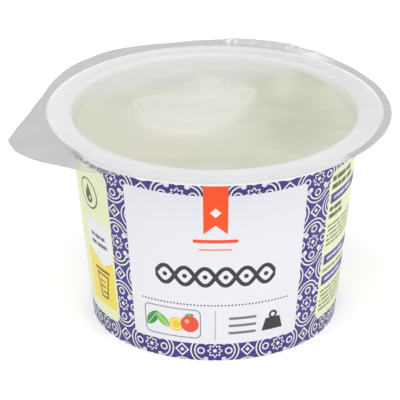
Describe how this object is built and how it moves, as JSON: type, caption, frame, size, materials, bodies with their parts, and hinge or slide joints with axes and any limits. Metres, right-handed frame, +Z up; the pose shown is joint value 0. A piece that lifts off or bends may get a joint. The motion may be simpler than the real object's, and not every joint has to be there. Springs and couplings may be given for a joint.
{
  "type": "sealed pot of burrata cheese",
  "caption": "Small round tapered pot with a printed label and a clear peel-off film lid, holding a soft white burrata ball in cloudy whey.",
  "frame": {"origin": "centre of the flat base, on the pot's axis", "axes": "+Z up along the pot's axis; the label's front panel faces -Y; the film's pull tab points to -X and a little to -Y"},
  "size_m": [0.1074, 0.1, 0.0639],
  "materials": {
    "pot_white": "smooth white polypropylene, soft gloss",
    "label_print": "printed sleeve, satin",
    "whey": "wet, cloudy liquid",
    "burrata_white": "moist soft cheese skin",
    "clear_film": "clear, slightly hazy plastic film"
  },
  "bodies": {
    "root": {"pot": "pot_white", "label": "label_print", "whey": "whey", "burrata": "burrata_white", "film": "clear_film"}
  },
  "joints": []
}
